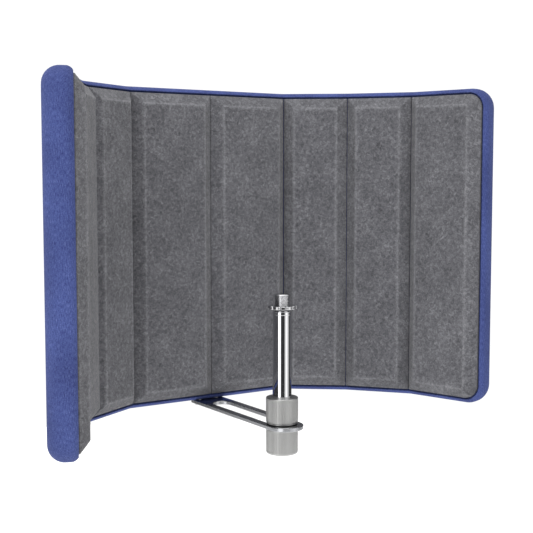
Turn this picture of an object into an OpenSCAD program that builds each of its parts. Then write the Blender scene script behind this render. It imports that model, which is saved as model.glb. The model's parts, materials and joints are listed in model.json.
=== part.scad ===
// Microphone isolation shield: eight felt pads on a flexible upholstered shell, which a slotted
// arm holds behind a microphone post. The post screws onto a 5/8 in stand thread.
// Origin: centre of the stand socket's mouth. +Z is up the post, and the shield opens towards -Y.

/* [Shield] */
// Height of the upholstered shell
shell_h = 350; // [340:1:360]
// Thickness of the shell
shell_t = 29; // [28:1:30]
// Radius of the rim's roll towards the pads
rim_front_r = 8; // [7:1:8]
// Radius of the rim's roll towards the back
rim_back_r = 16; // [12:1:17]
// Corner radius of the shell's outline
corner_r = 22; // [18:1:26]
// Width of each of the two pads beside the arm
centre_pad_w = 99; // [96:1:104]
// Width of the pad next to the centre pair, on both sides
inner_pad_w = 74; // [66:1:80]
// Width of the second pad from the end, on both sides
middle_pad_w = 75; // [66:1:80]
// Width of the end panel, from its hinge line to the end of the rim
outer_pad_w = 96; // [88:1:104]
// Distance from the post's axis to the shell's front plane
reach = 143; // [140:1:150]

/* [Rest pose] */
// Bend between the centre and the right inner panel, in degrees
right_bend_inner = 38; // [0:1:45]
// Bend between the right inner and middle panels, in degrees
right_bend_middle = 13; // [0:1:45]
// Bend between the right middle and outer panels, in degrees
right_bend_outer = 23; // [0:1:45]
// Bend between the centre and the left inner panel, in degrees
left_bend_inner = 29.5; // [0:0.5:45]
// Bend between the left inner and middle panels, in degrees
left_bend_middle = 26.5; // [0:0.5:45]
// Bend between the left middle and outer panels, in degrees
left_bend_outer = 11; // [0:0.5:45]

/* [Pads] */
// Height of a pad's bevel above the shell's front plane
bevel_h = 9.5; // [6:0.5:10]
// Width of a pad's bevel
bevel_w = 12; // [8:0.5:14]
// Depth to which a pad is let into the shell
pad_let_in = 3; // [2:0.5:4]
// Rim left showing around the pads
rim_show = 6.5; // [5:0.5:8]

/* [Shell layers] */
// Thickness of the fabric cover
cover_t = 1.2; // [0.8:0.1:1.5]
// Thickness of the stiffening board behind each pad
board_t = 4; // [3:0.5:5]
// Half of the gap between neighbouring panels
hinge_gap = 0.3; // [0.2:0.05:0.5]

/* [Arm] */
// Thickness of the arm's plate
arm_t = 4; // [3:0.5:5]
// Width of the arm
arm_w = 37.5; // [36:0.5:40]
// Width of the arm's slot
slot_w = 22; // [21.6:0.1:22.4]
// Distance from the post's axis to the centre of the slot's front end
slot_front = 6; // [2:1:10]
// Distance from the post's axis to the centre of the slot's rear end
slot_rear = 119; // [110:1:120]

/* [Post] */
// Diameter of the post
post_d = 19.5; // [19:0.1:19.8]
// Diameter of the knurled stand socket and clamp nut
knob_d = 33; // [31:0.5:35]
// Height of the stand socket
socket_h = 26; // [24:1:30]
// Height of the clamp nut
nut_h = 25.8; // [22:0.2:28]
// Height of the top of the microphone stud
stud_top = 165; // [160:1:175]
// Number of grooves in the knurling
knurls = 60; // [36:4:80]

/* [Threads] */
// Major diameter of the 5/8 in 27 thread
thread_d = 15.875; // [15.8:0.005:15.9]
// Diameter of the stand socket's bore, at the crests of its thread
socket_bore_d = 14.9; // [14.8:0.05:15]
// Depth of the stand socket's thread
socket_bore_h = 16; // [14:1:17]

/* [Hidden] */
$fn = 64;

// Post stack, from the stand socket up
washer_t = 0.8;
arm_z = socket_h + washer_t;
arm_top = arm_z + arm_t;
flange_t = 0.8;
clamp_washer_t = 1.2;
nut_z = arm_top + flange_t + clamp_washer_t;
post_r = post_d / 2;
knob_r = knob_d / 2;
run_gap = 0.1;
tube_wall = 2.25;
tube_z = socket_h - 8;
tube_top = stud_top - 21;
collar_h = 3.4;
ring_z = stud_top - 15;
ring_t = 3.2;
ring_r = 14.8;
ring_lobes = 12;
ring_washer_t = 1.4;
plug_h = 12;

// Shell, from the arm up
shell_z = arm_top + 0.2;
pad_z = shell_z + rim_show;
pad_h = shell_h - 2 * rim_show;
pad_clear = 0.3;
board_z = shell_z + rim_front_r + 1;
board_h = shell_h - 2 * rim_front_r - 2;
board_y = pad_let_in;
block_y = board_y + board_t;
block_t = 8;
block_z = shell_z + rim_front_r;
block_h = 30;
block_w = 90;
screw_y = block_y + block_t / 2;
screw_pitch = 22;
screw_r = 2;
screw_fit = 0.02;
block_screw_r = 1.75;
spacer_r = 4;

// Plan of the wings: each entry is [widths, bends], from the centre out
right_wing = [
  [inner_pad_w, middle_pad_w, outer_pad_w],
  [right_bend_inner, right_bend_middle, right_bend_outer]
];
left_wing = [
  [inner_pad_w, middle_pad_w, outer_pad_w],
  [left_bend_inner, left_bend_middle, left_bend_outer]
];

// Angle of panel k of a wing from the X axis, curling forwards
function heading(wing, k) = k < 0 ? 0 : heading(wing, k - 1) + wing[1][k];

// Hinge line at the inner edge of panel k of a wing, as a point in plan on the +X side
function hinge_at(wing, k) =
  k == 0 ? [centre_pad_w, reach]
  : hinge_at(wing, k - 1) + wing[0][k - 1] * [cos(heading(wing, k - 1)), -sin(heading(wing, k - 1))];

// Stands its child, drawn in a panel's own frame, on panel k of a wing
module on_panel(wing, k, side) {
  at = hinge_at(wing, k);
  mirror_axis = side > 0 ? [0, 0, 0] : [1, 0, 0];
  mirror(mirror_axis)
    translate([at[0], at[1], 0])
      rotate([0, 0, -heading(wing, k)])
        children();
}

// ---- Panel solids, in a panel's own frame: X runs out from the hinge, +Y is the back ----

// Section of the rim: X runs out to the edge at reach_x, and Y from the front plane to the back
module rim_section(reach_x, inset) {
  back_x = reach_x - rim_back_r;
  front_x = reach_x - rim_front_r;
  back_y = shell_t - rim_back_r;
  translate([0, inset])
    square([back_x, shell_t - 2 * inset]);
  translate([0, inset])
    square([front_x, back_y - inset]);
  translate([0, rim_front_r])
    square([reach_x - inset, back_y - rim_front_r]);
  translate([front_x, rim_front_r])
    circle(r = rim_front_r - inset);
  translate([back_x, back_y])
    intersection() {
      circle(r = rim_back_r - inset);
      square(rim_back_r);
    }
}

// Rolled-edge slab from x0 to x1 that is open at both ends
module strip_shell(x0, x1, inset) {
  for (flip = [0, 1])
    translate([x0, 0, shell_z + shell_h / 2])
      mirror([0, 0, flip])
        rotate([0, 90, 0])
          linear_extrude(x1 - x0)
            rim_section(shell_h / 2, inset);
}

// Quarter of the rim turned around a corner of the outline
module corner_roll(x, z, inset, flip) {
  translate([x, 0, z])
    mirror([0, 0, flip])
      rotate([-90, 0, 0])
        rotate_extrude(angle = 90)
          rim_section(corner_r, inset);
}

// Rolled-edge slab from x0 to the end x1 that is closed by a roll with rounded corners
module end_shell(x0, x1, inset) {
  bend_x = x1 - corner_r;
  low_z = shell_z + corner_r;
  high_z = shell_z + shell_h - corner_r;
  strip_shell(x0, bend_x, inset);
  translate([bend_x, 0, low_z])
    linear_extrude(high_z - low_z)
      rim_section(corner_r, inset);
  corner_roll(bend_x, low_z, inset, 0);
  corner_roll(bend_x, high_z, inset, 1);
}

module panel_shell(x0, x1, inset, ends) {
  if (ends)
    end_shell(x0, x1, inset);
  else
    strip_shell(x0, x1, inset);
}

// Outline of a pad in X and Z, grown by grow, with round corners at x1 if it ends the shell
module pad_outline(x0, x1, grow, ends) {
  low = pad_z - grow;
  high = pad_z + pad_h + grow;
  right = ends ? x1 - rim_show + grow : x1;
  r = corner_r - rim_show + grow;
  if (ends) {
    translate([x0, low])
      square([right - r - x0, high - low]);
    translate([x0, low + r])
      square([right - x0, high - low - 2 * r]);
    for (z = [low + r, high - r])
      translate([right - r, z])
        circle(r = r, $fn = 48);
  } else {
    translate([x0, low])
      square([right - x0, high - low]);
  }
}

// Slab of a pad's outline from depth y0 to y1
module pad_slab(x0, x1, y0, y1, grow, ends) {
  translate([0, y1, 0])
    rotate([90, 0, 0])
      linear_extrude(y1 - y0)
        pad_outline(x0, x1, grow, ends);
}

// Felt pad with a bevel all round its face
module pad_solid(x0, x1, ends) {
  face_t = 0.2;
  color("dimgray")
    hull() {
      pad_slab(x0, x1, 0, pad_let_in, 0, ends);
      pad_slab(x0 + bevel_w, ends ? x1 : x1 - bevel_w, -bevel_h, face_t - bevel_h, -bevel_w, ends);
    }
}

module board_solid(x0, x1, ends) {
  end_x = ends ? x1 - corner_r : x1;
  translate([x0, board_y, board_z])
    cube([end_x - x0, board_t, board_h]);
}

// Fabric skin, open in front where the pad is let in
module cover_solid(x0, x1, ends) {
  cut = 1;
  difference() {
    panel_shell(x0, x1, 0, ends);
    panel_shell(x0 - cut, ends ? x1 : x1 + cut, cover_t, ends);
    pad_slab(x0 - cut, ends ? x1 : x1 + cut, -cut, pad_let_in, pad_clear, ends);
  }
}

// Foam between the cover, the pad and the board
module foam_solid(x0, x1, ends) {
  cut = 1;
  difference() {
    panel_shell(x0, x1, cover_t, ends);
    pad_slab(x0 - cut, ends ? x1 : x1 + cut, -cut, pad_let_in, pad_clear, ends);
    board_solid(x0 - cut, ends ? x1 : x1 + cut, ends);
  }
}

// ---- Wing panels ----

function panel_end(k) = k == 2 ? outer_pad_w : (k == 1 ? middle_pad_w : inner_pad_w) - hinge_gap;

module wing_board(wing, k, side) {
  color("#2a2a2c")
    on_panel(wing, k, side)
      board_solid(hinge_gap, panel_end(k), k == 2);
}

module wing_foam(wing, k, side) {
  color("#c9c4b4")
    on_panel(wing, k, side)
      foam_solid(hinge_gap, panel_end(k), k == 2);
}

module wing_cover(wing, k, side) {
  color("#3b4686")
    on_panel(wing, k, side)
      cover_solid(hinge_gap, panel_end(k), k == 2);
}

module wing_pad(wing, k, side) {
  on_panel(wing, k, side)
    pad_solid(hinge_gap, panel_end(k), k == 2);
}

// ---- Centre panel, which the arm carries ----

module centre_board() {
  color("#2a2a2c")
    translate([0, reach, 0])
      difference() {
        board_solid(hinge_gap - centre_pad_w, centre_pad_w - hinge_gap, false);
        block_screw_holes();
      }
}

module centre_foam() {
  half = centre_pad_w - hinge_gap;
  color("#c9c4b4")
    translate([0, reach, 0])
      difference() {
        foam_solid(-half, half, false);
        translate([-block_w / 2, block_y, block_z - 1])
          cube([block_w, block_t, block_h + 1]);
        spacer_holes();
      }
}

module centre_cover() {
  half = centre_pad_w - hinge_gap;
  color("#3b4686")
    translate([0, reach, 0])
      difference() {
        cover_solid(-half, half, false);
        spacer_holes();
      }
}

module centre_pad(side) {
  mirror([side > 0 ? 0 : 1, 0, 0])
    translate([0, reach, 0])
      pad_solid(hinge_gap, centre_pad_w - hinge_gap, false);
}

// Metal block inside the shell's bottom edge, which takes the arm's screws
module mount_block() {
  color("silver")
    translate([0, reach, 0])
      difference() {
        translate([-block_w / 2, block_y, block_z - 1])
          cube([block_w, block_t, block_h + 1]);
        for (x = [-1, 1])
          translate([x * screw_pitch / 2, screw_y, block_z - 2])
            cylinder(r = screw_r + screw_fit, h = 22);
        block_screw_holes();
      }
}

// The four screws that hold the board to the block, each at its own place
module at_block_screws() {
  for (x = [-35, 35], z = [block_z + 6, block_z + 23])
    translate([x, board_y, z])
      rotate([-90, 0, 0])
        children();
}

module block_screw_holes() {
  at_block_screws() {
    translate([0, 0, -1])
      cylinder(r = block_screw_r + screw_fit, h = board_t + block_t + 2);
    translate([0, 0, -1])
      cylinder(r = 3.2, h = 3);
  }
}

module block_screws() {
  color("gray")
    translate([0, reach, 0])
      at_block_screws()
        difference() {
          union() {
            cylinder(r = block_screw_r, h = board_t + block_t - 1);
            cylinder(r = 3, h = 1.9);
          }
          translate([0, 0, -1])
            cylinder(r = 1.2, h = 2.2, $fn = 6);
        }
}

module spacer_holes() {
  for (x = [-1, 1])
    translate([x * screw_pitch / 2, screw_y, shell_z - 1])
      cylinder(r = spacer_r + 0.1, h = block_z - shell_z + 0.5);
}

// Sleeves that carry the arm's clamp load past the foam to the block
module mount_spacers() {
  color("silver")
    translate([0, reach, 0])
      for (x = [-1, 1])
        translate([x * screw_pitch / 2, screw_y, arm_top])
          difference() {
            cylinder(r = spacer_r, h = block_z - 1 - arm_top);
            translate([0, 0, -1])
              cylinder(r = screw_r + 0.2, h = block_z - arm_top + 1);
          }
}

// ---- Arm ----

// Flat loop in plan: a slot between two bars, closed at both ends
module arm_bracket() {
  tail_y = reach + screw_y + 6;
  tail_r = 4;
  color("silver")
    translate([0, 0, arm_z])
      difference() {
        union() {
          translate([0, -slot_front, 0])
            cylinder(d = arm_w, h = arm_t, $fn = 96);
          translate([-arm_w / 2, -slot_front, 0])
            cube([arm_w, tail_y - tail_r + slot_front, arm_t]);
          translate([tail_r - arm_w / 2, 0, 0])
            cube([arm_w - 2 * tail_r, tail_y, arm_t]);
          for (x = [-1, 1])
            translate([x * (arm_w / 2 - tail_r), tail_y - tail_r, 0])
              cylinder(r = tail_r, h = arm_t);
        }
        for (y = [-slot_front, slot_rear])
          translate([0, y, -1])
            cylinder(d = slot_w, h = arm_t + 2);
        translate([-slot_w / 2, -slot_front, -1])
          cube([slot_w, slot_rear + slot_front, arm_t + 2]);
        for (x = [-1, 1])
          translate([x * screw_pitch / 2, reach + screw_y, -1])
            cylinder(r = screw_r + 0.2, h = arm_t + 2);
      }
}

// Two socket-head screws up through the arm's tail into the block
module arm_screws() {
  head_h = 2.2;
  color("gray")
    for (x = [-1, 1])
      translate([x * screw_pitch / 2, reach + screw_y, arm_z])
        difference() {
          union() {
            translate([0, 0, -head_h])
              cylinder(r = 3.8, h = head_h);
            cylinder(r = screw_r, h = block_z - arm_z + 17);
          }
          translate([0, 0, -head_h - 1])
            cylinder(r = 1.5, h = 2.4, $fn = 6);
        }
}

// Flanged nylon bush that centres the post in the slot
module guide_bush() {
  color("#1c1c1e")
    difference() {
      union() {
        translate([0, 0, arm_z + 0.2])
          cylinder(r = slot_w / 2 - run_gap, h = arm_t - 0.2);
        translate([0, 0, arm_top])
          cylinder(r = knob_r - 1.2, h = flange_t);
      }
      translate([0, 0, arm_z - 1])
        cylinder(r = post_r + run_gap, h = arm_t + flange_t + 2);
    }
}

// ---- Post ----

// Knurled cylinder with rounded ends; low_r and high_r are the radii of its end roundings
module knob_solid(h, low_r, high_r) {
  groove_r = 0.5;
  plain_end = 0.6;
  difference() {
    rotate_extrude($fn = 120)
      union() {
        translate([0, low_r])
          square([knob_r, h - low_r - high_r]);
        square([knob_r - low_r, h]);
        translate([0, h - high_r])
          square([knob_r - high_r, high_r]);
        translate([knob_r - low_r, low_r])
          circle(r = low_r);
        translate([knob_r - high_r, h - high_r])
          circle(r = high_r);
      }
    for (i = [0:knurls - 1])
      rotate([0, 0, i * 360 / knurls])
        translate([knob_r + groove_r * 0.55, 0, low_r + plain_end])
          cylinder(r = groove_r, h = h - low_r - high_r - 2 * plain_end, $fn = 16);
  }
}

module stand_socket() {
  color("silver")
    difference() {
      knob_solid(socket_h, 2.4, 0.6);
      translate([0, 0, -1])
        cylinder(d = socket_bore_d, h = socket_bore_h + 1);
      translate([0, 0, tube_z])
        cylinder(r = post_r, h = socket_h);
    }
}

module lower_washer() {
  color("#1c1c1e")
    translate([0, 0, socket_h])
      difference() {
        cylinder(r = knob_r - 1, h = washer_t);
        translate([0, 0, -1])
          cylinder(r = post_r + run_gap, h = washer_t + 2);
      }
}

module post_tube() {
  color("gainsboro")
    translate([0, 0, tube_z])
      difference() {
        cylinder(r = post_r, h = tube_top - tube_z);
        translate([0, 0, -1])
          cylinder(r = post_r - tube_wall, h = tube_top - tube_z + 2);
      }
}

// Plug, collar and male thread at the top of the post, with a relief where the lock ring rests
module mic_stud() {
  chamfer = 0.8;
  thread_r = thread_d / 2;
  relief_r = thread_r - 0.6;
  relief_top = ring_z + ring_t + 0.2;
  color("gainsboro")
    union() {
      translate([0, 0, tube_top - plug_h])
        cylinder(r = post_r - tube_wall, h = plug_h);
      translate([0, 0, tube_top])
        cylinder(r = post_r, h = collar_h);
      translate([0, 0, tube_top + collar_h])
        cylinder(r = relief_r, h = relief_top - tube_top - collar_h);
      translate([0, 0, relief_top])
        cylinder(r = thread_r, h = stud_top - chamfer - relief_top);
      translate([0, 0, stud_top - chamfer])
        cylinder(r1 = thread_r, r2 = thread_r - chamfer, h = chamfer);
    }
}

module lock_washer() {
  color("#1c1c1e")
    translate([0, 0, ring_z - ring_washer_t])
      difference() {
        cylinder(r = post_r, h = ring_washer_t);
        translate([0, 0, -1])
          cylinder(r = thread_d / 2 + run_gap, h = ring_washer_t + 2);
      }
}

// Thin ring with finger notches, which locks a clip on the stud
module lock_ring() {
  notch_r = 2.4;
  color("gainsboro")
    translate([0, 0, ring_z])
      difference() {
        cylinder(r = ring_r, h = ring_t, $fn = 96);
        translate([0, 0, -1])
          cylinder(r = thread_d / 2 + run_gap, h = ring_t + 2);
        for (i = [0:ring_lobes - 1])
          rotate([0, 0, (i + 0.5) * 360 / ring_lobes])
            translate([ring_r + notch_r * 0.45, 0, -1])
              cylinder(r = notch_r, h = ring_t + 2, $fn = 32);
      }
}

module clamp_washer() {
  color("silver")
    translate([0, 0, arm_top + flange_t])
      difference() {
        cylinder(r = knob_r - 0.5, h = clamp_washer_t);
        translate([0, 0, -1])
          cylinder(r = post_r + run_gap, h = clamp_washer_t + 2);
      }
}

module clamp_nut() {
  color("silver")
    translate([0, 0, nut_z])
      difference() {
        knob_solid(nut_h, 0.8, 0.8);
        translate([0, 0, -1])
          cylinder(r = post_r + run_gap, h = nut_h + 2);
      }
}

stand_socket();
post_tube();
lower_washer();
mic_stud();
lock_washer();
lock_ring();
clamp_washer();
clamp_nut();
guide_bush();
arm_bracket();
arm_screws();
mount_spacers();
mount_block();
block_screws();
centre_board();
centre_foam();
centre_cover();
centre_pad(-1);  // centre_left_pad
centre_pad(1);  // centre_right_pad
wing_board(left_wing, 0, -1);  // left_inner_board
wing_foam(left_wing, 0, -1);  // left_inner_foam
wing_cover(left_wing, 0, -1);  // left_inner_cover
wing_pad(left_wing, 0, -1);  // left_inner_pad
wing_board(left_wing, 1, -1);  // left_middle_board
wing_foam(left_wing, 1, -1);  // left_middle_foam
wing_cover(left_wing, 1, -1);  // left_middle_cover
wing_pad(left_wing, 1, -1);  // left_middle_pad
wing_board(left_wing, 2, -1);  // left_outer_board
wing_foam(left_wing, 2, -1);  // left_outer_foam
wing_cover(left_wing, 2, -1);  // left_outer_cover
wing_pad(left_wing, 2, -1);  // left_outer_pad
wing_board(right_wing, 0, 1);  // right_inner_board
wing_foam(right_wing, 0, 1);  // right_inner_foam
wing_cover(right_wing, 0, 1);  // right_inner_cover
wing_pad(right_wing, 0, 1);  // right_inner_pad
wing_board(right_wing, 1, 1);  // right_middle_board
wing_foam(right_wing, 1, 1);  // right_middle_foam
wing_cover(right_wing, 1, 1);  // right_middle_cover
wing_pad(right_wing, 1, 1);  // right_middle_pad
wing_board(right_wing, 2, 1);  // right_outer_board
wing_foam(right_wing, 2, 1);  // right_outer_foam
wing_cover(right_wing, 2, 1);  // right_outer_cover
wing_pad(right_wing, 2, 1);  // right_outer_pad
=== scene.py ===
"""Looks of a microphone isolation shield: felt pads on a fabric sleeve, a slotted arm and a knurled post."""

import json
import math

import bmesh
import bpy
import numpy as np
from mathutils import Euler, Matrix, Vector


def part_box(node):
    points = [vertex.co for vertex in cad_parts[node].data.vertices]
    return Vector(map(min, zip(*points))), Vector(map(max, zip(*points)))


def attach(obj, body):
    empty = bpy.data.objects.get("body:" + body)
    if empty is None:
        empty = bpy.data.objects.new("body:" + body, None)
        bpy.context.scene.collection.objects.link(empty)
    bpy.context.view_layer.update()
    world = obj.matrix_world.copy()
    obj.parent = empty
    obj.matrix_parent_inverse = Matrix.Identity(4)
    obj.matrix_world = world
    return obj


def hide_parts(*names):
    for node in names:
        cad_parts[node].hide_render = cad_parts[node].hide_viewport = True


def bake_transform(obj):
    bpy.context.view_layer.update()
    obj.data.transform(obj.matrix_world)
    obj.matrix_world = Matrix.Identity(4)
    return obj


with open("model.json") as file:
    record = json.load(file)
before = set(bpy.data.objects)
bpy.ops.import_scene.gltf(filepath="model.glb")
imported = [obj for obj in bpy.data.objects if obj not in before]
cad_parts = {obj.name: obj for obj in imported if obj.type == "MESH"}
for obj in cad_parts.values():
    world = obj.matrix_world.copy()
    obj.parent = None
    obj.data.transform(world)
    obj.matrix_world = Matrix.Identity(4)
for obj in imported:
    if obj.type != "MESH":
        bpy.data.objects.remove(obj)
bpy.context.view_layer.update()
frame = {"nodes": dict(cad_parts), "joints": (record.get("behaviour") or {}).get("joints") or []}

MM = 0.001
WINGS = {"left": -1, "right": 1}
PANELS = ("inner", "middle", "outer")
JOINTS = {joint["name"]: joint for joint in frame["joints"]}

# ---- Sizes of the shell and pads, in millimetres ----
SHELL_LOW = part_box("centre_cover")[0].z / MM
SHELL_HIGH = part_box("centre_cover")[1].z / MM
SHELL_MIDDLE = (SHELL_LOW + SHELL_HIGH) / 2
SHELL_T = (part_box("centre_cover")[1].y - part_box("centre_cover")[0].y) / MM
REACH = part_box("centre_cover")[0].y / MM
PAD_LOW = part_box("centre_right_pad")[0].z / MM
PAD_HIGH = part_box("centre_right_pad")[1].z / MM
RIM_SHOW = PAD_LOW - SHELL_LOW
OUTER_W = 96.0
CORNER_R = 22.0
FRONT_R = 8.0
BACK_R = 16.0
# The cloth's fold at a hinge, and how far the bend spreads to each side of it
FOLD_R = 3.0
# The cloth dips TUCK_DEPTH beside the pads, between these distances from the edge, with a crevice at the felt
TUCK_DEPTH = 2.6
TUCK_FROM = 4.0
TUCK_TO = 6.0
CREVICE = 2.0
BACK_SWELL = 0.5
BACK_WAVES = 0.22
PAD_GAP = 0.3
PAD_LET_IN = 3.0
PAD_CORNER_R = 1.2
BEVEL_H = 9.5
BEVEL_W = 12.0
FELT_SWELL = 0.45
FELT_WAVES = 0.14
# Support points stand this share of an arc's radius outside its ends
HOLD = 0.25


# ---- Mesh helpers ----


def smoothstep(low, high, x):
    """0 below low, 1 above high, and 3t^2 - 2t^3 between them."""
    t = np.clip((x - low) / (high - low), 0, 1)
    return t * t * (3 - 2 * t)


def quads(rows, columns, start=0):
    """Quads of a grid of rows x columns points that are numbered row by row from start."""
    index = np.arange(rows * columns).reshape(rows, columns) + start
    corners = [index[:-1, :-1], index[:-1, 1:], index[1:, 1:], index[1:, :-1]]
    return np.stack(corners, -1).reshape(-1, 4)


def build(name, grids, material, caps=(), sharp=38.0, uvs=None, edges=None):
    """One closed mesh from grids of points (rows, columns, 3) in millimetres, and caps, which are loops of
    points. Grids that share an edge are merged along it, and all faces are turned outwards. uvs are the
    grids' cloth places in millimetres, and edges their shares of a painted highlight along the felt pads'
    edges."""
    points, faces, flat_uv, start = [], [], [], 0
    for k, grid in enumerate(grids):
        rows, columns = grid.shape[:2]
        points.append(grid.reshape(-1, 3))
        faces += quads(rows, columns, start).tolist()
        if uvs is not None:
            flat_uv.append(uvs[k].reshape(-1, 2))
        start += rows * columns
    for loop in caps:
        points.append(loop)
        faces.append(list(range(start, start + len(loop))))
        if uvs is not None:
            flat_uv.append(loop[:, [0, 2]])
        start += len(loop)
    points = np.concatenate(points) * MM
    mesh = bpy.data.meshes.new(name)
    mesh.from_pydata(points.tolist(), [], faces)
    if uvs is not None:
        corner = np.zeros(len(mesh.loops), np.int32)
        mesh.loops.foreach_get("vertex_index", corner)
        layer = mesh.uv_layers.new(name="cloth")
        layer.data.foreach_set("uv", (np.concatenate(flat_uv) * MM)[corner].ravel())
    # edges become a point attribute: each point's share of the painted highlight along the felt pads' edges
    if edges is not None:
        share = np.concatenate([e.ravel() for e in edges] + [np.zeros(len(loop)) for loop in caps])
        mesh.attributes.new("painted_edge_highlight", "FLOAT", "POINT").data.foreach_set("value", share)
    work = bmesh.new()
    work.from_mesh(mesh)
    bmesh.ops.remove_doubles(work, verts=work.verts, dist=2e-6)
    bmesh.ops.dissolve_degenerate(work, dist=1e-6, edges=work.edges)
    bmesh.ops.recalc_face_normals(work, faces=work.faces)
    work.to_mesh(mesh)
    work.free()
    mesh.polygons.foreach_set("use_smooth", np.ones(len(mesh.polygons), bool))
    mesh.set_sharp_from_angle(angle=math.radians(sharp))
    mesh.materials.append(material)
    made = bpy.data.objects.new(name, mesh)
    bpy.context.scene.collection.objects.link(made)
    return made


def rounded(corners, radii, steps=5):
    """A line through corners, with each inner corner replaced by an arc of its radius: the arc touches both
    legs at radius x tan(turn / 2) from the corner. A point just outside each end of an arc keeps the legs
    flat."""
    corners = [np.array(c, float) for c in corners]
    line = [corners[0][None]]
    for before, corner, after, radius in zip(corners, corners[1:], corners[2:], radii):
        a = (before - corner) / np.linalg.norm(before - corner)
        b = (after - corner) / np.linalg.norm(after - corner)
        half = math.acos(np.clip(a @ b, -1, 1)) / 2
        centre = corner + (a + b) / np.linalg.norm(a + b) * radius / math.sin(half)
        first, last = corner + a * radius / math.tan(half), corner + b * radius / math.tan(half)
        t = np.linspace(0, 1, steps + 1)[:, None]
        sweep = math.pi - 2 * half
        u, v = first - centre, last - centre
        line.append((first + a * radius * HOLD)[None])
        line.append(centre + (np.sin((1 - t) * sweep) * u + np.sin(t * sweep) * v) / math.sin(sweep))
        line.append((last + b * radius * HOLD)[None])
    line.append(corners[-1][None])
    return np.concatenate(line)


def turned(profile, segments=144, radius=None):
    """Surface of revolution: profile is (radius, height) down the rows, and angle runs along the columns.
    radius(r, angle, z), if given, replaces the plain radius."""
    angle = np.linspace(0, 2 * math.pi, segments + 1)
    angle[-1] = 0
    r, z = profile[:, :1], profile[:, 1:]
    r = np.broadcast_to(r, (len(profile), segments + 1))
    z = np.broadcast_to(z, r.shape)
    if radius is not None:
        r = radius(r, angle[None], z)
    return np.stack([r * np.cos(angle), r * np.sin(angle), z], -1)


def ring_profile(r0, r1, z0, z1, edge):
    """Closed (radius, height) outline of a washer, with edges rounded by edge."""
    corners = [(r0, (z0 + z1) / 2), (r0, z1), (r1, z1), (r1, z0), (r0, z0), (r0, (z0 + z1) / 2)]
    return rounded(corners, [edge] * 4, 4)


# ---- Material helpers ----


def linear(hex_colour):
    """sRGB hex colour to linear RGBA."""
    parts = [int(hex_colour[i : i + 2], 16) / 255 for i in (1, 3, 5)]
    return [p / 12.92 if p <= 0.04045 else ((p + 0.055) / 1.055) ** 2.4 for p in parts] + [1.0]


def add(tree, kind, inputs, stops=(), **settings):
    """Adds a node, sets its settings and its colour stops of (position, hex colour), and links or sets each
    input, which is named or numbered."""
    node = tree.nodes.new(kind)
    for key, value in settings.items():
        setattr(node, key, value)
    for k, (place, colour) in enumerate(stops):
        elements = node.color_ramp.elements
        element = elements[k] if k < len(elements) else elements.new(place)
        element.position = place
        element.color = linear(colour)
    for key, value in inputs.items():
        if isinstance(value, bpy.types.NodeSocket):
            tree.links.new(value, node.inputs[key])
        else:
            node.inputs[key].default_value = value
    return node


def new_material(name, values):
    """A material with a Principled shader, whose sockets get values; returns it with its tree and shader."""
    material = bpy.data.materials.new(name)
    material.use_nodes = True
    shader = material.node_tree.nodes["Principled BSDF"]
    for key, value in values.items():
        shader.inputs[key].default_value = value
    return material, material.node_tree, shader


# ---- Materials ----


def woven_polyester():
    """Heathered polyester upholstery cloth: a plain weave of yarns 0.57 mm apart in four blues, with slim
    slubs."""
    material, tree, shader = new_material(
        "woven_polyester_blue",
        {
            "Roughness": 0.88,
            "Sheen Weight": 0.1,
            "Sheen Roughness": 0.5,
            "Sheen Tint": linear("#9aa2cc"),
            "Specular IOR Level": 0.2,
        },
    )
    cloth = add(tree, "ShaderNodeUVMap", {}, uv_map="cloth").outputs["UV"]
    # Slubs are 0.9 mm across and about 4 mm long, and run up the cloth
    layers = []
    for scale, detail in (((1150.0, 260.0, 1.0), 3.0), ((800.0, 1300.0, 1.0), 2.0), ((30.0, 14.0, 1.0), 3.0)):
        stretched = add(tree, "ShaderNodeMapping", {"Vector": cloth, "Scale": scale}).outputs["Vector"]
        noise = add(tree, "ShaderNodeTexNoise", {"Vector": stretched, "Scale": 1.0, "Detail": detail})
        layers.append(noise.outputs["Fac"])
    slub, pick, cloud = layers
    yarns = [
        add(
            tree,
            "ShaderNodeTexWave",
            {"Vector": cloth, "Scale": 555.0, "Distortion": 1.2, "Detail": 1.0},
            bands_direction=way,
        ).outputs["Fac"]
        for way in ("X", "Y")
    ]
    weave = add(tree, "ShaderNodeMath", {0: yarns[0], 1: yarns[1]}, operation="MULTIPLY").outputs[0]
    streak = add(tree, "ShaderNodeMix", {0: 0.4, 2: slub, 3: pick}).outputs[0]
    heather = add(
        tree,
        "ShaderNodeValToRGB",
        {"Fac": streak},
        [(0.34, "#303971"), (0.46, "#424f87"), (0.56, "#505e97"), (0.7, "#6c78a8")],
    ).outputs["Color"]
    cloudy = add(tree, "ShaderNodeValToRGB", {"Fac": cloud}, [(0.35, "#dcdce2"), (0.65, "#ffffff")])
    threads = add(tree, "ShaderNodeValToRGB", {"Fac": weave}, [(0.0, "#bcbcc4"), (0.45, "#ffffff")])
    worked = heather
    for share, shade in ((1.0, cloudy), (0.8, threads)):
        shades = {0: share, 6: worked, 7: shade.outputs["Color"]}
        worked = add(tree, "ShaderNodeMix", shades, data_type="RGBA", blend_type="MULTIPLY").outputs[2]
    tree.links.new(worked, shader.inputs["Base Color"])
    relief = add(tree, "ShaderNodeMath", {0: slub, 1: 0.8, 2: weave}, operation="MULTIPLY_ADD").outputs[0]
    bump = add(tree, "ShaderNodeBump", {"Height": relief, "Strength": 0.5, "Distance": 0.0004})
    tree.links.new(bump.outputs["Normal"], shader.inputs["Normal"])
    return material


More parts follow.
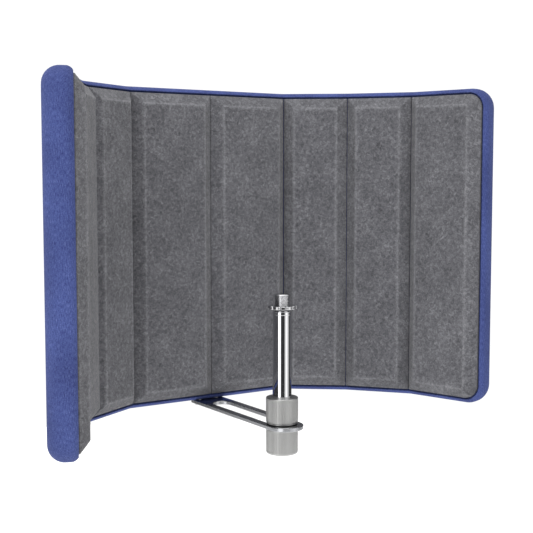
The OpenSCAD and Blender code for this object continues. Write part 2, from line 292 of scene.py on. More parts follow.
def needled_felt():
    """Needle-punched polyester felt: a mat of dark and pale fibres about 1 mm long, mottled in 3 mm clumps
    and in 25 mm patches, with a painted highlight along each pad's edges."""
    material, tree, shader = new_material(
        "needled_felt_grey",
        {"Roughness": 0.97, "Sheen Weight": 0.12, "Sheen Roughness": 0.6, "Specular IOR Level": 0.1},
    )
    place = add(tree, "ShaderNodeTexCoord", {}).outputs["Object"]
    layers = []
    sizes = ((300.0, 4.0, 0.62, 0.9), (850.0, 3.0, 0.7, 2.2), (40.0, 2.0, 0.5, 0.0))
    for scale, detail, rough, warp in sizes:
        values = {"Vector": place, "Scale": scale, "Detail": detail, "Roughness": rough, "Distortion": warp}
        layers.append(add(tree, "ShaderNodeTexNoise", values).outputs["Fac"])
    clump, fibre, patch = layers
    mat = add(tree, "ShaderNodeMix", {0: 0.42, 2: clump, 3: fibre}).outputs[0]
    mat = add(tree, "ShaderNodeMix", {0: 0.14, 2: mat, 3: patch}).outputs[0]
    colour = add(
        tree,
        "ShaderNodeValToRGB",
        {"Fac": mat},
        [(0.36, "#363639"), (0.46, "#4c4c50"), (0.54, "#5d5d61"), (0.66, "#7c7c80")],
    ).outputs["Color"]
    # Painted highlight: the colour is mixed towards pale grey along each pad's edges, where the edges catch
    # the light, broken up by the clumps
    edge = add(tree, "ShaderNodeAttribute", {}, attribute_name="painted_edge_highlight").outputs["Fac"]
    highlight_share = add(tree, "ShaderNodeMath", {0: edge, 1: clump}, operation="MULTIPLY").outputs[0]
    highlight_share = add(tree, "ShaderNodeMath", {0: highlight_share, 1: 0.22}, operation="MULTIPLY").outputs[0]
    colour = add(tree, "ShaderNodeMix", {0: highlight_share, 6: colour, 7: linear("#b4b4b8")}, data_type="RGBA")
    tree.links.new(colour.outputs[2], shader.inputs["Base Color"])
    relief = add(tree, "ShaderNodeMath", {0: clump, 1: fibre}, operation="ADD").outputs[0]
    bump = add(tree, "ShaderNodeBump", {"Height": relief, "Strength": 0.5, "Distance": 0.0006})
    tree.links.new(bump.outputs["Normal"], shader.inputs["Normal"])
    return material


def metal(name, colour, roughness, spread, haze_scale, line_scale=None, line_strength=0.0):
    """Metal whose gloss varies in a haze between roughness - spread and roughness + spread. If line_scale is
    given, tool lines are stretched by it and raised by line_strength."""
    material, tree, shader = new_material(name, {"Metallic": 1.0, "Base Color": linear(colour)})
    place = add(tree, "ShaderNodeTexCoord", {}).outputs["Object"]
    haze = add(tree, "ShaderNodeTexNoise", {"Vector": place, "Scale": haze_scale, "Detail": 3.0})
    gloss = add(
        tree,
        "ShaderNodeMapRange",
        {
            "Value": haze.outputs["Fac"],
            "From Min": 0.3,
            "From Max": 0.7,
            "To Min": roughness - spread,
            "To Max": roughness + spread,
        },
    ).outputs["Result"]
    tree.links.new(gloss, shader.inputs["Roughness"])
    if line_scale is not None:
        stretched = add(tree, "ShaderNodeMapping", {"Vector": place, "Scale": line_scale}).outputs["Vector"]
        lines = add(tree, "ShaderNodeTexNoise", {"Vector": stretched, "Scale": 1.0, "Detail": 2.0})
        height = lines.outputs["Fac"]
        bump = add(tree, "ShaderNodeBump", {"Height": height, "Strength": line_strength, "Distance": 0.0001})
        tree.links.new(bump.outputs["Normal"], shader.inputs["Normal"])
    return material


def moulded_nylon():
    """Black injection-moulded nylon: matt, with a fine moulding grain of 0.4 mm."""
    material, tree, shader = new_material("moulded_nylon_black", {"Roughness": 0.5, "IOR": 1.53})
    place = add(tree, "ShaderNodeTexCoord", {}).outputs["Object"]
    grain = add(tree, "ShaderNodeTexNoise", {"Vector": place, "Scale": 2500.0, "Detail": 2.0}).outputs["Fac"]
    colour = add(tree, "ShaderNodeValToRGB", {"Fac": grain}, [(0.3, "#141415"), (0.7, "#202022")])
    tree.links.new(colour.outputs["Color"], shader.inputs["Base Color"])
    bump = add(tree, "ShaderNodeBump", {"Height": grain, "Strength": 0.2, "Distance": 0.0001})
    tree.links.new(bump.outputs["Normal"], shader.inputs["Normal"])
    return material


def pressed_board():
    """Dark pressed fibreboard: matt, with a flecked grain of 1 mm."""
    material, tree, shader = new_material("pressed_fibreboard", {"Roughness": 0.85})
    place = add(tree, "ShaderNodeTexCoord", {}).outputs["Object"]
    fleck = add(tree, "ShaderNodeTexNoise", {"Vector": place, "Scale": 1000.0, "Detail": 3.0}).outputs["Fac"]
    colour = add(tree, "ShaderNodeValToRGB", {"Fac": fleck}, [(0.35, "#232325"), (0.7, "#38383a")])
    tree.links.new(colour.outputs["Color"], shader.inputs["Base Color"])
    return material


CLOTH = woven_polyester()
FELT = needled_felt()
# Chromium plate on polished tube: a mirror with a trace of haze
CHROME = metal("polished_chrome_plate", "#d6d6d8", 0.05, 0.02, 240.0)
# Chromium plate over a cut thread and a notched ring, a little duller than on the tube
CUT_CHROME = metal("chrome_plate_over_cut_thread", "#bcbcbe", 0.14, 0.03, 240.0)
# Chromium plate on a punched steel plate, duller again
ARM_CHROME = metal("chrome_plated_steel_plate", "#a2a3a6", 0.2, 0.04, 240.0)
# Knurled steel with satin nickel plate, with fine tool lines round it
NICKEL = metal("satin_nickel_plate", "#a0a09f", 0.36, 0.05, 240.0, (60.0, 60.0, 3200.0), 0.12)
NYLON = moulded_nylon()
# Zinc-plated screw steel: satin, in faint cloudy spangles
ZINC = metal("zinc_plated_steel", "#a9abae", 0.3, 0.08, 900.0)
# Milled aluminium block, with cutter lines across it
ALUMINIUM = metal("milled_aluminium", "#c2c3c6", 0.32, 0.05, 240.0, (2000.0, 20.0, 20.0), 0.3)
BOARD = pressed_board()


# ---- Plan of the wings ----


def wing_plan(wing):
    """Hinge points, as seen on the +X side in millimetres, and the panels' headings in radians, from the
    centre out."""
    found = [JOINTS[f"{wing}_{panel}_bend"] for panel in PANELS]
    hinges = [np.array([abs(j["pos_m"][0]), j["pos_m"][1]]) / MM for j in found]
    headings = np.cumsum([math.radians(-j["range_deg"][0]) for j in found])
    return hinges, [0.0, *headings]


def direction(heading):
    """Along a panel, away from the centre."""
    return np.stack([np.cos(heading), -np.sin(heading)], -1)


def backwards(heading):
    """Square to a panel, to its back."""
    return np.stack([np.sin(heading), np.cos(heading)], -1)


def front_line(wing, step=3.4, fold_steps=14):
    """Columns of the sleeve along its front plane: point, heading and developed length, with an arc of radius
    FOLD_R at each hinge. Also the column numbers of the panels' middles."""
    hinges, headings = wing_plan(wing)
    legs = [np.array([0.0, REACH]), *hinges]
    legs.append(hinges[-1] + direction(headings[-1]) * (OUTER_W - CORNER_R))
    points, angles, lengths, breaks, run = [], [], [], [0], 0.0
    for k in range(len(PANELS) + 1):
        back_turn = headings[k] - headings[k - 1] if k else 0.0
        next_turn = headings[k + 1] - headings[k] if k < len(PANELS) else 0.0
        trim_a, trim_b = FOLD_R * math.tan(back_turn / 2), FOLD_R * math.tan(next_turn / 2)
        along = direction(headings[k])
        length = np.linalg.norm(legs[k + 1] - legs[k])
        first, last = trim_a, length - trim_b
        middle = length / 2 if 0 < k < len(PANELS) else None
        stops = [first, last] if middle is None else [first, middle, last]
        for i, (a, b) in enumerate(zip(stops, stops[1:])):
            if i:
                breaks.append(sum(len(p) for p in points))
            t = np.linspace(a, b, max(2, round((b - a) / step) + 1))[:-1]
            points.append(legs[k] + t[:, None] * along)
            angles.append(np.full(len(t), headings[k]))
            lengths.append(run + t - first)
        run += last - first
        if k < len(PANELS):
            t = np.arange(fold_steps) / fold_steps
            turn = headings[k] + t * next_turn
            centre = legs[k] + last * along - FOLD_R * backwards(headings[k])
            points.append(centre + FOLD_R * backwards(turn))
            angles.append(turn)
            lengths.append(run + t * next_turn * (FOLD_R + BACK_R))
            run += next_turn * (FOLD_R + BACK_R)
    end = legs[-1]
    points.append(end[None])
    angles.append(np.array([headings[-1]]))
    lengths.append(np.array([run]))
    breaks.append(sum(len(p) for p in points) - 1)
    return np.concatenate(points), np.concatenate(angles), np.concatenate(lengths), breaks


def rim_curve():
    """The rim in section, from back to front: distance out from the edge of the flat sheets, depth behind the
    front plane, and length along the cloth. A large arc leads to a short flat and a small arc, after which
    the cloth tucks down beside the pads and runs on behind them."""
    back = np.radians(np.linspace(90, 0, 15))
    front = np.radians(np.concatenate([np.linspace(0, -50, 9)[1:], np.linspace(-53, -90, 14)]))
    step = BACK_R - FRONT_R
    under_pads = np.array([0.8, 0.4, 0.0]) * step
    out = np.concatenate([BACK_R * np.cos(back), step + FRONT_R * np.cos(front), under_pads])
    back_depth = SHELL_T - BACK_R + BACK_R * np.sin(back)
    depth = np.concatenate([back_depth, FRONT_R + FRONT_R * np.sin(front), np.zeros(len(under_pads))])
    inset = BACK_R - out
    in_front = depth < FRONT_R / 2
    tuck = TUCK_DEPTH * smoothstep(TUCK_FROM, TUCK_TO, inset)
    crevice = CREVICE * smoothstep(TUCK_FROM, TUCK_TO, inset) * (1 - smoothstep(TUCK_TO + 0.8, BACK_R, inset))
    depth = depth + (tuck + crevice) * in_front
    cloth = np.concatenate([[0], np.cumsum(np.hypot(np.diff(out), np.diff(depth)))])
    return out, depth, cloth


SHEET_ROWS = 92


def ripple(u, v, seed, waves=9, shortest=28.0, longest=90.0):
    """Sum of a few seeded sine waves of random direction and length, between -1 and 1."""
    chance = np.random.default_rng(seed)
    lengths = chance.uniform(shortest, longest, waves)
    ways = chance.uniform(0, math.pi, waves)
    phases = chance.uniform(0, 6.28, waves)
    total = 0.0
    for length, way, phase in zip(lengths, ways, phases):
        total = total + np.sin(2 * math.pi / length * (u * math.cos(way) + v * math.sin(way)) + phase)
    return total / waves * 1.6


def sleeve(name, wing, first, last, closed_end):
    """Fabric sleeve from column first to last of a wing. Its section is a flat front and back joined by rims
    above and below, and it is carried along the front line. A closed end narrows round the corners, and ends
    in a rim."""
    points, angles, lengths, _ = LINES[wing]
    side = WINGS[wing]
    points, angles, lengths = points[first : last + 1], angles[first : last + 1], lengths[first : last + 1]
    half = np.full(len(points), (SHELL_HIGH - SHELL_LOW) / 2 - BACK_R)
    outward = np.tile([0.0, 1.0], (len(points), 1))
    if closed_end:
        bend_r = CORNER_R - BACK_R
        turn = np.radians(np.linspace(0, 90, 13))[1:]
        reach = bend_r * np.sin(turn)
        points = np.concatenate([points, points[-1] + reach[:, None] * direction(angles[-1])])
        lengths = np.concatenate([lengths, lengths[-1] + reach])
        angles = np.concatenate([angles, np.full(len(turn), angles[-1])])
        half = np.concatenate([half, half[-1] - bend_r + bend_r * np.cos(turn)])
        outward = np.concatenate([outward, np.stack([np.sin(turn), np.cos(turn)], -1)])
    rows = np.linspace(-1, 1, SHEET_ROWS)
    out, depth, cloth = rim_curve()

    def place(column, along, z, deep):
        """Points at column, moved along by along, at height z and depth deep."""
        flat = (
            points[column]
            + along[..., None] * direction(angles[column])
            + deep[..., None] * backwards(angles[column])
        )
        return np.stack([side * flat[..., 0], flat[..., 1], z], -1)

    column = np.arange(len(points))
    grids, uvs = [], []

    def sheet_of(deep_of):
        """Adds the front or the back, whose depth at column c and height z is deep_of(c, z)."""
        c, v = np.meshgrid(column, rows, indexing="ij")
        z = v * half[c]
        grids.append(place(c, np.zeros(c.shape), SHELL_MIDDLE + z, deep_of(c, z)))
        uvs.append(np.stack([lengths[c] * side, z], -1))

    def back_depth(c, z):
        """Back of the shell, which swells between its rims, and is a little uneven."""
        edge = 1 - (np.abs(z) / half[c]) ** 6
        if closed_end:
            edge = edge * smoothstep(0.0, 40.0, lengths[-1] - lengths[c])
        return SHELL_T + edge * (BACK_SWELL + BACK_WAVES * ripple(lengths[c], z, 11 + side))

    sheet_of(lambda c, z: np.full(c.shape, TUCK_DEPTH))
    sheet_of(back_depth)
    for up in (-1, 1):
        c, k = np.meshgrid(column, np.arange(len(out)), indexing="ij")
        along = out[k] * outward[c, 0]
        z = up * (half[c] + out[k] * outward[c, 1])
        grids.append(place(c, along, SHELL_MIDDLE + z, depth[k]))
        cloth_x = side * (lengths[c] + cloth[k] * outward[c, 0])
        cloth_z = up * (half[c] + cloth[k] * outward[c, 1])
        uvs.append(np.stack([cloth_x, cloth_z], -1))
    if closed_end:
        v, k = np.meshgrid(rows, np.arange(len(out)), indexing="ij")
        c = np.full(v.shape, len(points) - 1)
        z = v * half[-1]
        grids.append(place(c, out[k], SHELL_MIDDLE + z, depth[k]))
        uvs.append(np.stack([side * (lengths[-1] + cloth[k]), z], -1))
    caps = []
    for c in [0] if closed_end else [0, len(points) - 1]:
        front, back, low, high = grids[0][c], grids[1][c], grids[2][c], grids[3][c]
        caps.append(np.concatenate([front[::-1][:-1], low[::-1][:-1], back[:-1], high[:-1]]))
    return build(name, grids, CLOTH, caps, sharp=60.0, uvs=uvs)


LINES = {wing: front_line(wing) for wing in WINGS}


def make_sleeves():
    """Six stretches of the sleeve, each from one panel's middle to the next, shaped round a fold at the hinge
    line in them."""
    for wing, side in WINGS.items():
        breaks = LINES[wing][3]
        for k, panel in enumerate(PANELS):
            body = f"{wing}_{panel}"
            made = sleeve(f"sleeve_{body}", wing, breaks[k], breaks[k + 1], k == len(PANELS) - 1)
            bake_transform(made)
            stands_for = [f"{body}_cover", f"{body}_foam"]
            if body == "left_inner":
                stands_for += ["centre_cover", "centre_foam"]
            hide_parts(*stands_for)


# ---- Felt pads ----


def pad_outline(x0, x1, inner_r, outer_r, inset, along=34, up=100, arc=7):
    """Round-cornered rectangle, drawn in by inset: four sides of points that meet at the middles of the
    corner arcs, each an arc half, a straight run and an arc half."""
    low, high = PAD_LOW + inset, PAD_HIGH - inset
    left, right = x0 + inset, x1 - inset
    ri, ro = max(inner_r - inset, 0.7), max(outer_r - inset, 0.7)
    corners = [
        (left, low, ri, 1, 1),
        (right, low, ro, -1, 1),
        (right, high, ro, -1, -1),
        (left, high, ri, 1, -1),
    ]
    starts = [225, 315, 45, 135]
    sides = []
    for k in range(4):
        x, z, r, sx, sz = corners[k]
        xn, zn, rn, sxn, szn = corners[(k + 1) % 4]
        first = np.radians(starts[k] + np.linspace(0, 45, arc))
        second = np.radians(starts[k] + np.linspace(45, 90, arc))
        a = np.stack([x + sx * r + r * np.cos(first), z + sz * r + r * np.sin(first)], -1)
        b = np.stack([xn + sxn * rn + rn * np.cos(second), zn + szn * rn + rn * np.sin(second)], -1)
        t = np.linspace(0, 1, (along if k % 2 == 0 else up) + 1)[1:-1, None]
        sides.append(np.concatenate([a, a[-1] + t * (b[0] - a[-1]), b]))
    return sides


def coons(sides):
    """Grid filled in between four sides: the sum of the two ruled grids less the bilinear one."""
    low, right, high, left = sides[0], sides[1], sides[2][::-1], sides[3][::-1]
    u = np.linspace(0, 1, len(low))[None, :, None]
    v = np.linspace(0, 1, len(right))[:, None, None]
    return (
        (1 - v) * low[None]
        + v * high[None]
        + (1 - u) * left[:, None]
        + u * right[:, None]
        - (1 - u) * (1 - v) * low[0]
        - u * (1 - v) * low[-1]
        - (1 - u) * v * high[0]
        - u * v * high[-1]
    )


def felt_pad(name, wing, k, body):
    """Felt pad on panel k of a wing (0 is the centre one): rings of its outline drawn in up a bevel whose
    edges are eased, and a face that is a filled grid, which swells by FELT_SWELL."""
    side = WINGS[wing]
    hinges, headings = wing_plan(wing)
    origin = np.array([0.0, REACH]) if k == 0 else hinges[k - 1]
    ends_shell = k == len(PANELS)
    if ends_shell:
        width = OUTER_W - RIM_SHOW
    else:
        width = np.linalg.norm(hinges[k] - origin) - PAD_GAP
    outer_r = CORNER_R - RIM_SHOW if ends_shell else PAD_CORNER_R
    section = rounded([(0, PAD_LET_IN), (0, 0), (BEVEL_W, -BEVEL_H), (BEVEL_W + 3, -BEVEL_H)], [0.7, 1.7], 6)
    slope = int(np.argmax(np.hypot(*np.diff(section, axis=0).T)))
    steps = np.linspace(0, 1, 7)[1:-1, None]
    bevel = section[slope] + steps * (section[slope + 1] - section[slope])
    section = np.concatenate([section[: slope + 1], bevel, section[slope + 1 :]])

    def seat(flat, deep):
        """Panel points (x, z) and their depths to the row frame."""
        plan = origin + flat[..., :1] * direction(headings[k]) + deep[..., None] * backwards(headings[k])
        return np.stack([side * plan[..., 0], plan[..., 1], flat[..., 1]], -1)

    def uneven(flat, deep):
        """Waves of FELT_WAVES over the pad's raised part."""
        raised = smoothstep(0.5, 6.0, -deep)
        waves = ripple(flat[..., 0], flat[..., 1], 40 + 7 * k + side, 11, 9.0, 46.0)
        return deep - raised * FELT_WAVES * waves

    rings, ring_highlight = [], []
    for inset, deep in section:
        sides = pad_outline(PAD_GAP, width, PAD_CORNER_R, outer_r, inset)
        ring = np.concatenate([s[:-1] for s in sides] + [sides[0][:1]])
        rings.append(seat(ring, uneven(ring, np.full(len(ring), deep))))
        # Share of the painted highlight, strongest where the bevel meets the face
        ring_highlight.append(np.full(len(ring), math.exp(-(((inset - BEVEL_W) / 1.3) ** 2))))
    sides = pad_outline(PAD_GAP, width, PAD_CORNER_R, outer_r, section[-1, 0])
    face = coons(sides)
    half_face = 165.0
    across = (face[..., 0] - PAD_GAP) / width * 2 - 1
    up = (face[..., 1] - SHELL_MIDDLE) / half_face
    crown = FELT_SWELL * np.clip((1 - across**2) * (1 - up**4), 0, 1)
    edge = np.minimum(
        np.minimum(face[..., 0] - sides[3][50, 0], sides[1][50, 0] - face[..., 0]),
        np.minimum(face[..., 1] - sides[0][20, 1], sides[2][20, 1] - face[..., 1]),
    )
    crown = crown * smoothstep(0.0, 14.0, edge)
    face = seat(face, uneven(face, np.full(face.shape[:2], -BEVEL_H)) - crown)
    # Painted highlight shares: the bevel's rings, and the face, where it fades out within a few millimetres
    # of its edges
    edges = [np.stack(ring_highlight), ring_highlight[-1][0] * np.exp(-((edge / 1.5) ** 2))]
    made = build(name, [np.stack(rings), face], FELT, [rings[0][:-1]], sharp=70.0, edges=edges)
    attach(made, body)
    return made


def make_pads():
    """Eight pads: two side by side at the centre, and one on each panel of each wing."""
    for wing in WINGS:
        made = felt_pad(f"felt_centre_{wing}", wing, 0, "arm")
        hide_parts(f"centre_{wing}_pad")
        for k, panel in enumerate(PANELS):
            body = f"{wing}_{panel}"
            made = felt_pad(f"felt_{body}", wing, k + 1, body)
            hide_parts(f"{body}_pad")


# ---- Post and clamp ----

KNURLS = 60
KNURL_DEPTH = 0.26
PITCH = 25.4 / 27
THREAD_R = 15.875 / 2
THREAD_DEPTH = 0.58
# Play between the post or its thread and the parts that turn on it
PLAY = 0.1
SEAT = 0.05
# A surface of revolution starts this far from its axis
AXIS_R = 0.001


def spans(node):
    """Lowest and highest z of a CAD node, in millimetres."""
    low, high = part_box(node)
    return low.z / MM, high.z / MM


def outer_radius(node):
    """Outer radius of a round CAD node, in millimetres."""
    low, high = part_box(node)
    return (high.x - low.x) / 2 / MM


POST_R = outer_radius("post_tube")
KNOB_R = outer_radius("stand_socket")


def knurled(low, high):
    """Radius of a knurled wall: KNURLS round-bottomed grooves that fade out near low and high."""

    def radius(r, angle, z):
        wave = np.abs(np.sin(angle * KNURLS / 2))
        groove = KNURL_DEPTH * (1 - smoothstep(0.0, 0.62, wave))
        reach = smoothstep(low, low + 0.7, z) * (1 - smoothstep(high - 0.7, high, z))
        on_wall = smoothstep(KNOB_R - 0.25, KNOB_R - 0.02, r)
        return r - groove * reach * on_wall

    return radius


def helix(angle, z):
    """Share of a thread's depth, 0 to 1. It climbs one pitch a turn, with flats at crest and root."""
    flat = 0.12
    phase = np.mod(z / PITCH - angle / (2 * math.pi), 1.0)
    return np.clip((np.abs(phase - 0.5) * 2 - flat) / (1 - 2 * flat), 0, 1)


def screw_thread(low, high):
    """Radius of a screw's thread between low and high, with its roots cut into the radius r."""

    def radius(r, angle, z):
        reach = smoothstep(low, low + 0.6, z) * (1 - smoothstep(high - 0.6, high, z))
        return r - THREAD_DEPTH * helix(angle, z) * reach

    return radius


def nut_thread(low, high):
    """Radius of a nut's thread between low and high, with its crests raised inwards from the radius r."""

    def radius(r, angle, z):
        reach = smoothstep(low + 0.4, low + 1.4, z) * (1 - smoothstep(high - 1.2, high - 0.2, z))
        return r - THREAD_DEPTH * (1 - helix(angle, z)) * reach

    return radius


def with_rows(profile, step):
    """Profile whose longest upright run is cut into rows a step apart."""
    k = int(np.argmax(np.abs(np.diff(profile[:, 1]))))
    count = int(abs(profile[k + 1, 1] - profile[k, 1]) / step)
    t = np.linspace(0, 1, count + 1)[1:-1, None]
    run = profile[k] + t * (profile[k + 1] - profile[k])
    return np.concatenate([profile[: k + 1], run, profile[k + 1 :]])


def finish_piece(made, body, slot, *nodes):
    """Puts a new piece on its body and hides the CAD nodes it stands for. slot is not used."""
    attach(made, body)
    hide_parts(*nodes)


def make_tube():
    """Plain post. Rows every 4 mm keep its mirrored reflections straight."""
    low, high = spans("post_tube")
    corners = [(AXIS_R, low), (POST_R, low), (POST_R, high), (AXIS_R, high)]
    wall = with_rows(rounded(corners, [0.3, 0.2], 4), 4.0)
    made = build("post_tube_chrome", [turned(wall, 192)], CHROME)
    finish_piece(made, "post", "chrome", "post_tube")


def make_stud():
    """Collar, and the stud with its helical thread and chamfered end."""
    low = spans("post_tube")[1]
    high = spans("mic_stud")[1]
    collar_h, chamfer = 3.4, 0.75
    collar = low + collar_h
    base = rounded([(AXIS_R, low), (POST_R, low), (POST_R, collar), (AXIS_R, collar)], [0.35, 0.6], 5)
    made = build("post_collar", [turned(base, 192)], CHROME)
    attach(made, "post")
    foot, shoulder = collar - 0.2, high - 0.8
    count = int((shoulder - collar) / (PITCH / 9))
    shaft = np.stack([np.full(count, THREAD_R), np.linspace(foot, shoulder, count)], -1)
    end = np.array([(THREAD_R - chamfer, high - 0.05), (THREAD_R - 1.0, high), (AXIS_R, high)])
    rod = np.concatenate([[(AXIS_R, foot)], shaft, end])
    surface = turned(rod, 96, screw_thread(collar + 0.3, high - chamfer))
    made = build("threaded_stud", [surface], CUT_CHROME, sharp=80.0)
    finish_piece(made, "post", "chrome", "mic_stud")


def make_lock_ring():
    """Ring with finger notches: its outline's radius is the ring's, or the near side of a notch circle."""
    low, high = spans("lock_ring")
    lobes, notch_r, rim_w = 12, 2.4, 3.6
    ring_r = outer_radius("lock_ring")
    notch_at = ring_r + notch_r * 0.45

    def radius(r, angle, z):
        away = np.mod(angle - math.pi / lobes, 2 * math.pi / lobes)
        away = np.minimum(away, 2 * math.pi / lobes - away)
        inside = np.clip(notch_r**2 - (notch_at * np.sin(away)) ** 2, 0, None)
        near = notch_at * np.cos(away) - np.sqrt(inside)
        rim = np.where(inside > 0, np.minimum(near, ring_r), ring_r)
        share = smoothstep(ring_r - rim_w, ring_r, r)
        return r + share * (rim - ring_r)

    profile = ring_profile(THREAD_R + PLAY, ring_r, low, high, 0.45)
    made = build("scalloped_lock_ring", [turned(profile, lobes * 40, radius)], CUT_CHROME, sharp=60.0)
    finish_piece(made, "lock_ring", "chrome", "lock_ring")


def make_washers():
    """Nylon faces that slide on metal stand SEAT short of it, so that no pose puts them through it."""
    low, high = spans("lower_washer")
    profile = ring_profile(POST_R + PLAY, KNOB_R - 1, low, high - SEAT, 0.2)
    made = build("lower_nylon_washer", [turned(profile)], NYLON)
    finish_piece(made, "post", "black_nylon", "lower_washer")
    low, high = spans("lock_washer")
    profile = ring_profile(THREAD_R + PLAY, POST_R, low, high, 0.25)
    made = build("lock_nylon_washer", [turned(profile)], NYLON)
    finish_piece(made, "lock_washer", "black_nylon", "lock_washer")
    low, high = spans("clamp_washer")
    profile = ring_profile(POST_R + PLAY, KNOB_R - 0.5, low, high, 0.25)
    made = build("clamp_steel_washer", [turned(profile)], NICKEL)
    finish_piece(made, "clamp_washer", "satin_nickel", "clamp_washer")
    low, high = spans("guide_bush")
    sleeve_r, flange_t = 10.9, 0.8
    top, under = high - SEAT, high - flange_t + SEAT
    bore, flange_r, middle = POST_R + PLAY, KNOB_R - 1.2, (low + high) / 2
    corners = [
        (bore, middle),
        (bore, top),
        (flange_r, top),
        (flange_r, under),
        (sleeve_r, under),
        (sleeve_r, low),
        (bore, low),
        (bore, middle),
    ]
    made = build("guide_bush_moulded", [turned(rounded(corners, [0.2, 0.25, 0.25, 0.1, 0.2, 0.2], 4))], NYLON)
    finish_piece(made, "guide", "black_nylon", "guide_bush")


def make_clamp_nut():
    """Nut with a knurled wall and eased edges."""
    low, high = spans("clamp_nut")
    bore = POST_R + PLAY
    middle = (low + high) / 2
    corners = [(bore, middle), (bore, high), (KNOB_R, high), (KNOB_R, low), (bore, low), (bore, middle)]
    wall = with_rows(rounded(corners, [0.4, 0.8, 0.8, 0.4], 6), 0.9)
    surface = turned(wall, KNURLS * 10, knurled(low + 0.8, high - 0.8))
    made = build("knurled_clamp_nut", [surface], NICKEL, sharp=50.0)
    finish_piece(made, "clamp_nut", "satin_nickel", "clamp_nut")


def make_stand_socket():
    """Stand socket as one surface of revolution, from the middle of its top, down the knurled wall, and up
    the bore, whose wall is a thread. All rows have the same number of points, so that the thread meets the
    wall."""
    low, high = spans("stand_socket")
    bore_r, bore_h = 7.45, 16.0
    root_r = bore_r + THREAD_DEPTH
    corners = [(POST_R - 0.3, high), (KNOB_R, high), (KNOB_R, low), (root_r, low), (root_r, low + 4)]
    outer = with_rows(rounded(corners, [0.6, 2.4, 0.5], 8)[:-1], 0.9)
    count = int(bore_h / (PITCH / 8))
    thread = np.stack([np.full(count, root_r), np.linspace(low + 0.75, low + bore_h, count)], -1)
    line = np.concatenate([[(AXIS_R, high)], outer, thread, [(AXIS_R, low + bore_h + 2.5)]])
    wall, bore = knurled(low + 2.4, high - 0.6), nut_thread(low, low + bore_h)

    def radius(r, angle, z):
        return np.where(r > bore_r + 2, wall(r, angle, z), np.where(r > bore_r, bore(r, angle, z), r))

    made = build("knurled_stand_socket", [turned(line, KNURLS * 8, radius)], NICKEL, sharp=50.0)
    finish_piece(made, "post", "satin_nickel", "stand_socket")


# ---- Arm ----


def resample(line, count):
    """Points spaced evenly along a line."""
    run = np.concatenate([[0], np.cumsum(np.linalg.norm(np.diff(line, axis=0), axis=1))])
    t = np.linspace(0, run[-1], count)
    return np.stack([np.interp(t, run, line[:, 0]), np.interp(t, run, line[:, 1])], -1)


def make_arm():
    """Slotted plate: a strip between the slot's loop and the outline, carried round a section whose four
    edges are eased by 0.5 mm. Both loops start at the front on the left, and have the same number of points
    in each stretch."""
    low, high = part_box("arm_bracket")
    half, tail = high.x / MM, high.y / MM
    z0, z1 = low.z / MM, high.z / MM
    slot_r, slot_front, slot_rear, tail_r = 11.0, -6.0, 119.0, 4.0
    turn = np.radians(np.linspace(180, 360, 73))
    arc = np.stack([np.cos(turn), np.sin(turn)], -1)
    bend = np.radians(np.linspace(0, 180, 73))
    rear = np.stack([slot_r * np.cos(bend), slot_rear + slot_r * np.sin(bend)], -1)
    tail_corners = [(half, slot_rear), (half, tail), (-half, tail), (-half, slot_rear)]
    outer_rear = resample(rounded(tail_corners, [tail_r, tail_r], 10), 73)
    up = np.linspace(slot_front, slot_rear, 50)[1:-1]

    def loop(front_r, right, rear_part):
        """Closed loop: the front arc, the right side, the rear part and the left side."""
        front = arc * front_r + [0, slot_front]
        rising = np.stack([np.full(len(up), right), up], -1)
        falling = np.stack([np.full(len(up), -right), up[::-1]], -1)
        return np.concatenate([front, rising, rear_part, falling, front[:1]])

    inner, outer = loop(slot_r, slot_r, rear), loop(half, half, outer_rear)

    def outwards(line):
        """Unit normals of a closed loop that runs anticlockwise, pointing out of it."""
        before = np.concatenate([line[-2:-1], line[:-1]])
        after = np.concatenate([line[1:], line[1:2]])
        way = after - before
        way /= np.linalg.norm(way, axis=1)[:, None]
        return np.stack([way[:, 1], -way[:, 0]], -1)

    grow_in, grow_out = outwards(inner), outwards(outer)
    ease = 0.5
    t = np.radians(np.linspace(0, 90, 6))
    rows = []
    # Up the slot's wall, out across the top, down the outline's wall and back underneath
    for line, grow, z_edge, z_way, rising in (
        (inner, grow_in, z1, -1, True),
        (outer, -grow_out, z1, -1, False),
        (outer, -grow_out, z0, 1, True),
        (inner, grow_in, z0, 1, False),
    ):
        insets, drops = ease * (1 - np.cos(t)), ease * (1 - np.sin(t))
        insets = np.concatenate([[0], insets, [ease * (1 + HOLD)]])
        drops = np.concatenate([[ease * (1 + HOLD)], drops, [0]])
        if not rising:
            insets, drops = insets[::-1], drops[::-1]
        for inset, drop in zip(insets, drops):
            rows.append(np.column_stack([line + inset * grow, np.full(len(line), z_edge + z_way * drop)]))
    rows.append(rows[0])
    made = build("slotted_arm_plate", [np.stack(rows)], ARM_CHROME, sharp=50.0)
    finish_piece(made, "arm", "arm_chrome", "arm_bracket")


# ---- CAD nodes that stay ----


def finish_nodes():
    """Materials of the hard inner parts that keep their CAD shape."""
    finishes = {
        "arm_screws": ZINC,
        "block_screws": ZINC,
        "mount_block": ALUMINIUM,
        "mount_spacers": ALUMINIUM,
        "centre_board": BOARD,
    }
    for wing in WINGS:
        for panel in PANELS:
            finishes[f"{wing}_{panel}_board"] = BOARD
    for node, material in finishes.items():
        mesh = frame["nodes"][node].data
        mesh.materials.clear()
        mesh.materials.append(material)


# ---- Stage, lights and camera ----

FLAG_R = 2.2
CAMERA_AT = Vector((-0.6153, -0.9062, 0.2851))
CAMERA_WAY = math.radians(33.34)
CAMERA_PITCH = math.radians(4.796)


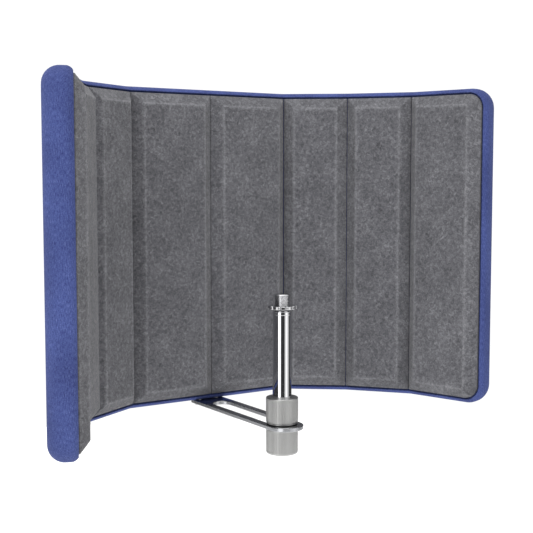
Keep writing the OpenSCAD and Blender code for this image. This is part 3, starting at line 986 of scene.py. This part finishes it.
def make_stage():
    """A pale floor well below the object, which a stand would hold, in a white room."""
    floor_z, floor_r, inner_r = -0.42, 2.0, 0.0001
    disc = turned(np.array([(inner_r, floor_z), (floor_r, floor_z)]) / MM, 96)
    floor_paint, _, _ = new_material(
        "matt_white_paint",
        {
            "Roughness": 0.9,
            "Base Color": linear("#f4f4f4"),
            "Emission Color": linear("#ffffff"),
            "Emission Strength": 0.35,
        },
    )
    floor = build("floor", [disc], floor_paint)
    floor.data.flip_normals()

    world = bpy.data.worlds.new("white_room")
    bpy.context.scene.world = world
    world.use_nodes = True
    tree = world.node_tree
    background = tree.nodes["Background"]
    background.inputs["Color"].default_value = linear("#ffffff")
    background.inputs["Strength"].default_value = 1.05


def make_flags():
    """Black studio flags, which the camera doesn't see. Mirrors see one behind the camera, between the
    softboxes, and low ones on the right and round the back. A tall one on the right takes light off the left
    wing, and no mirror sees it. Each runs from one direction to another (degrees from +X) and from one height
    to another."""
    cloth, _, _ = new_material("black_flag_cloth", {"Roughness": 1.0, "Base Color": linear("#2c2c2e")})
    flags = (
        ("flag_front", 214.0, 268.0, -0.8, 0.9, True),
        ("flag_side", 305.0, 352.0, -0.8, 0.6, True),
        ("flag_back", -26.0, 190.0, -0.5, 0.2, True),
        ("flag_right", 284.0, 352.0, -0.42, 1.6, False),
    )
    for name, first, last, low, high, mirrored in flags:
        way, z = np.meshgrid(np.radians(np.linspace(first, last, 60)), [low, high])
        flag = build(name, [np.stack([FLAG_R * np.cos(way), FLAG_R * np.sin(way), z], -1) / MM], cloth)
        flag.visible_camera = False
        flag.visible_shadow = False
        flag.visible_diffuse = not mirrored
        flag.visible_glossy = mirrored


def softbox(name, way, distance, height, size, power):
    """Area light on the direction way (degrees from +X), aimed at the shield's middle."""
    light = bpy.data.lights.new(name, "AREA")
    light.shape = "RECTANGLE"
    light.size, light.size_y = size
    light.energy = power
    lamp = bpy.data.objects.new(name, light)
    target = Vector((0, 0.05, 0.2))
    turn = math.radians(way)
    lamp.location = target + Vector((math.cos(turn) * distance, math.sin(turn) * distance, height))
    lamp.rotation_euler = (target - lamp.location).to_track_quat("-Z", "Y").to_euler()
    lamp.visible_camera = False
    bpy.context.scene.collection.objects.link(lamp)


def make_lights():
    """Three softboxes, on the left and right of the camera and above it."""
    softbox("left_softbox", 207, 1.6, 0.1, (0.95, 1.7), 6.5)
    softbox("right_softbox", 306, 1.6, 0.1, (1.2, 1.7), 3.5)
    softbox("top_softbox", 240, 0.7, 1.5, (1.6, 1.2), 22)


def make_camera():
    """A 73 mm lens on a 36 mm sensor, level with the shield's upper half and looking down a little."""
    lens = bpy.data.cameras.new("camera")
    lens.lens = 72.81
    lens.sensor_width = 36.0
    camera = bpy.data.objects.new("camera", lens)
    camera.location = CAMERA_AT
    camera.rotation_euler = Euler((math.pi / 2 - CAMERA_PITCH, 0, -CAMERA_WAY), "XYZ")
    bpy.context.scene.collection.objects.link(camera)
    bpy.context.scene.camera = camera


make_sleeves()
make_pads()
make_stand_socket()
make_tube()
make_stud()
make_lock_ring()
make_washers()
make_clamp_nut()
make_arm()
finish_nodes()
make_stage()
make_flags()
make_lights()
make_camera()
bpy.context.scene.view_settings.view_transform = "Standard"
